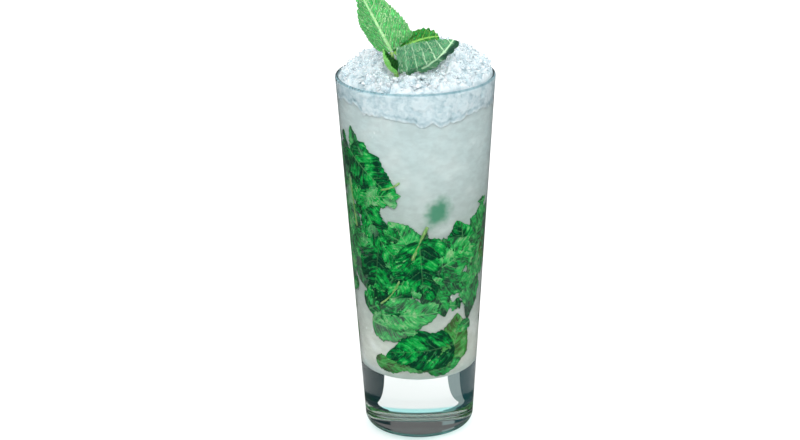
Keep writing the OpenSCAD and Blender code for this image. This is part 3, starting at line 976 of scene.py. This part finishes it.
def makeIceCore(material):
    s = iceShape
    around, rings = s["around"], s["rings"]
    turns = [2 * math.pi * j / around for j in range(around)]
    points, tones = [(0, 0, bedded(0, 0) - s["coreSink"])], [0.8]
    for k in range(1, rings + 1):
        r = heapR * (k / rings) ** 0.9
        for a in turns:
            x, y = r * math.cos(a), r * math.sin(a)
            z = bedded(x, y) - s["coreSink"]
            big, bigTone = shard((x, y, z), s["lumps"][0])
            middling, midTone = shard((x, y, z + 1), s["lumps"][1])
            small = swell((x, y, z + 2), s["lumps"][2])
            points.append((x, y, z + (2.0 * big + 1.5 * middling + 0.5 * small - 1.7) * mm))
            # painted light and shade: raised lumps are lighter and creases darker, on top of each facet's own
            # tone
            tones.append(iceLook["topTone"] + 0.16 * bigTone + 0.2 * midTone + 0.12 * middling + 0.14 * small)
    # down the wall, bulging just into the glass, then inwards under the drink's top
    lines = [iceLine(math.degrees(a) + 90) for a in turns]
    edge = [points[1 + (rings - 1) * around + j][2] for j in range(around)]
    for k in range(1, s["wallRows"] + 1):
        for j, a in enumerate(turns):
            z = edge[j] + (lines[j] - 1.5 * mm - edge[j]) * k / s["wallRows"]
            r = cavityR(min(z, rimZ))
            p = (r * math.cos(a), r * math.sin(a), z * 0.8)
            big, small = swell(p, s["lumps"][0]), swell(p, s["lumps"][2])
            middling, midTone = shard(p, s["lumps"][1])
            inWall = min(1, max(0, (rimZ - 0.4 * mm - z) / (1.2 * mm)))
            r += (0.15 + 0.35 * big + 0.25 * middling + 0.1 * small) * mm * inWall
            low = max(0, 1 - abs(z - lines[j] - 0.3 * mm) / (1.1 * mm))
            points.append((r * math.cos(a), r * math.sin(a), z))
            # painted shadow: a dark line along the ice's lower edge, which comes and goes
            edgeShadowStrength = 0.45 + 0.45 * noise.noise(Vector((4 * math.cos(a), 4 * math.sin(a), 2)))
            # painted light and shade again: bulges lighter and creases darker, with each facet's own tone
            tone = iceLook["wallTone"] + 0.26 * big + 0.16 * midTone + 0.12 * middling + 0.1 * small
            tones.append(tone * (1 - max(0, edgeShadowStrength) * min(1, low)))
    points.append((0, 0, levelZ - 6 * mm))
    tones.append(0.5)
    faces = ringFaces(rings + s["wallRows"], around, flip=True)
    core = newPiece("iceCore", points, faces, [material])
    paint(core, "iceToneAndShade", tones)
    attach(core, "root")
    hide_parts("crushed_ice")


def chipShapes(corners, draw):
    # a few irregular splinters, as hulls round uneven points
    shapes = []
    for _ in range(chipKinds):
        cloud = draw.normal(size=(corners, 3))
        cloud /= np.linalg.norm(cloud, axis=1)[:, None]
        cloud *= draw.uniform(0.65, 1.0, size=(corners, 1)) * draw.uniform((1, 0.6, 0.45), (1.3, 1, 0.8))
        bm = bmesh.new()
        for p in cloud:
            bm.verts.new(p * 0.5)
        bmesh.ops.convex_hull(bm, input=bm.verts)
        bmesh.ops.delete(bm, geom=[v for v in bm.verts if not v.link_faces], context="VERTS")
        bmesh.ops.bevel(bm, geom=bm.edges[:], offset=chipBevel, segments=1, affect="EDGES",
                        clamp_overlap=True)
        bm.verts.index_update()
        faces = [tuple(v.index for v in f.verts) for f in bm.faces]
        shapes.append((np.array([v.co for v in bm.verts]), faces))
        bm.free()
    return shapes


# the larger chips: angle round the glass, distance from the middle, size and height above the heap
iceChunks = [(36, 27, 8, 0.6), (88, 30.5, 4, 1.5), (-64, 27, 6, 0.8), (12, 24, 6, 0.3), (150, 26, 7, 0.8),
             (205, 25, 8, 0.6), (262, 28, 6, 1), (118, 20, 6, 0.5), (-20, 27, 5, 0.6)]


def scatterIce(name, material, draw, chosen=()):
    kind = iceScatter[name]
    shapes = chipShapes(kind["corners"], draw)
    pieces = []
    for k in range(kind["count"] + len(chosen)):
        if k < len(chosen):
            turn, r, size, lift = chosen[k]
            size, r, a = size * mm, r * mm, math.radians(turn - 90)
            z = bedded(r * math.cos(a), r * math.sin(a)) + lift * mm - size * 0.3
        else:
            size = draw.uniform(*kind["sizes"]) * mm
            r = (heapR - 0.3 * mm) * math.sqrt(draw.random())
            a = draw.uniform(0, 2 * math.pi)
            r = min(r, heapR + 0.2 * mm - size * 0.55)
            z = bedded(r * math.cos(a), r * math.sin(a)) - draw.uniform(*kind["sink"]) * mm
        x, y = r * math.cos(a), r * math.sin(a)
        turn = Matrix.Rotation(draw.uniform(0, 6.28), 3, Vector(draw.normal(size=3)).normalized())
        verts, faces = shapes[k % len(shapes)]
        pieces.append(((verts * size) @ np.array(turn).T + (x, y, z), faces))
    made = newPiece(name, *joined(pieces), [material], smooth=False)
    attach(made, "root")


def makeIce():
    core, clear, cloudy = makeIceMaterials()
    draw = np.random.default_rng(iceShape["seed"])
    makeIceCore(core)
    scatterIce("iceChips", clear, draw, iceChunks)
    scatterIce("iceGrains", cloudy, draw)


makeIce()
print("ice made")

# the floor, the light and the camera
studio = {
    "floorR": 4.0, "floor": (0.90, 0.90, 0.90, 1), "mirroredFloor": (0.05, 0.05, 0.05, 1),
    "world": 1.0, "gloss": 0.1, "upper": 0.14, "upperStart": (0.06, 0.14),
    "keyPower": 9, "key": (-0.1, -1.0, 1.2), "rimPower": 6, "rim": (0.6, 1.0, 0.9),
}


def mirroredRay(tree):
    # 1 for a ray that was just mirrored, but not for one that was bent through glass
    path = add(tree, "ShaderNodeLightPath").outputs
    return times(tree, path["Is Glossy Ray"], path["Is Reflection Ray"])


def makeStage():
    turns = np.linspace(0, 2 * math.pi, 96, endpoint=False)
    ring = [(studio["floorR"] * math.cos(a), studio["floorR"] * math.sin(a), 0) for a in turns]
    floorMaterial, tree, shader = newMaterial("paleFloor")
    tone = ease(tree, grain(tree, objectPlace(tree), 3, 3.0), 0.3, 0.7, 0.985, 1.0)
    colour = add(tree, "ShaderNodeVectorMath", {0: studio["floor"][:3], "Scale": tone},
                 operation="SCALE").outputs[0]
    # glass and ice mirror a darker room, which keeps the colours behind the glass deep
    colour = mixColour(tree, mirroredRay(tree), colour, studio["mirroredFloor"])
    setInputs(tree, shader, {"Base Color": colour, "Roughness": 0.9, "Specular IOR Level": 0.1})
    floor = newPiece("floor", ring, [tuple(range(96))], [floorMaterial], smooth=False)
    world = bpy.data.worlds.new("softStudio")
    scene.world = world
    world.use_nodes = True
    tree = world.node_tree
    back = tree.nodes["Background"]
    path = add(tree, "ShaderNodeLightPath").outputs
    way = split(tree, add(tree, "ShaderNodeTexCoord").outputs["Generated"])["Z"]
    sky = ease(tree, way, -0.1, 0.9, studio["world"] * 0.85, studio["world"] * 1.15)
    # what is seen straight through the glass, with nothing matt in between, has a darker upper room
    through = times(tree, path["Is Transmission Ray"], ease(tree, path["Diffuse Depth"], 0.6, 0.4))
    through = times(tree, through, ease(tree, way, *studio["upperStart"]))
    sky = add(tree, "ShaderNodeMix", {0: through, 2: sky, 3: studio["upper"]}).outputs[0]
    # the camera sees a white backdrop, while what glass and ice mirror is a darker room
    strength = add(tree, "ShaderNodeMix", {0: mirroredRay(tree), 2: sky, 3: studio["gloss"]}).outputs[0]
    strength = add(tree, "ShaderNodeMix", {0: path["Is Camera Ray"], 2: strength, 3: 1.0}).outputs[0]
    back.inputs["Color"].default_value = (1, 1, 1, 1)
    tree.links.new(strength, back.inputs["Strength"])


# from and to in degrees round the glass (0 faces +Y, positive to +X), and shade
cards = [(24, 78, (0.001, 0.018, 0.022, 1)), (-78, -30, (0.003, 0.045, 0.055, 1)),
         (-30, -17, (0.24, 0.31, 0.31, 1))]
# each card lies flat from the foot outwards and then stands up: distance and height of its bends
cardBends = ((0.5 * mm, 0.3 * mm), (1.2, 0.3 * mm), (1.2, 0.6))
cardSteps = 24


def makeCards():
    # only rays that pass through glass see the cards, and the thick base shows them as dark bands
    row = cardSteps + 1
    for k, (start, end, shade) in enumerate(cards):
        name = "card" + str(k + 1)
        made, tree, _ = newMaterial(name)
        shine = add(tree, "ShaderNodeEmission", {"Color": shade, "Strength": 1.0})
        tree.links.new(shine.outputs[0], tree.nodes["Material Output"].inputs["Surface"])
        turns = np.radians(np.linspace(start, end, row))
        points = [(r * math.sin(a), r * math.cos(a) + baseR, z) for r, z in cardBends for a in turns]
        corners = [p + n * row for n in range(2) for p in range(cardSteps)]
        faces = [(p, p + 1, p + row + 1, p + row) for p in corners]
        card = newPiece(name, points, faces, [made], smooth=False)
        card.visible_camera = card.visible_diffuse = card.visible_glossy = card.visible_shadow = False


def makeLamp(name, where, power, size, glints):
    lamp = bpy.data.lights.new(name, "AREA")
    lamp.energy, lamp.size, lamp.shape = power, size, "DISK"
    made = bpy.data.objects.new(name, lamp)
    made.location = where
    made.rotation_euler = (Vector((0, 0, 0.1)) - Vector(where)).to_track_quat("-Z", "Y").to_euler()
    made.visible_glossy = glints
    made.visible_transmission = False
    scene.collection.objects.link(made)


def makeCamera():
    view = {"distance": 0.9, "down": 19.39, "roll": 0.85, "aim": (-7.4 * mm, 0, 94.2 * mm), "lens": 93.46}
    a = math.radians(view["down"])
    back = Vector((0, -math.cos(a), math.sin(a)))
    right = Vector((1, 0, 0))
    up = back.cross(right)
    roll = Matrix.Rotation(-math.radians(view["roll"]), 4, "Z")
    turn = Matrix((right, up, back)).transposed().to_4x4() @ roll
    lens = bpy.data.cameras.new("camera")
    lens.lens, lens.sensor_width, lens.clip_end = view["lens"], 36, 50
    made = bpy.data.objects.new("camera", lens)
    made.matrix_world = Matrix.Translation(Vector(view["aim"]) + view["distance"] * back) @ turn
    scene.collection.objects.link(made)
    scene.camera = made


makeStage()
makeCards()
makeLamp("keyLamp", studio["key"], studio["keyPower"], 1.0, True)
makeLamp("rimLamp", studio["rim"], studio["rimPower"], 0.8, False)
makeCamera()
scene.view_settings.view_transform = "Standard"
scene.cycles.max_bounces = 14
scene.cycles.transmission_bounces = 12
scene.cycles.transparent_max_bounces = 16
scene.cycles.glossy_bounces = 4
print("stage made")
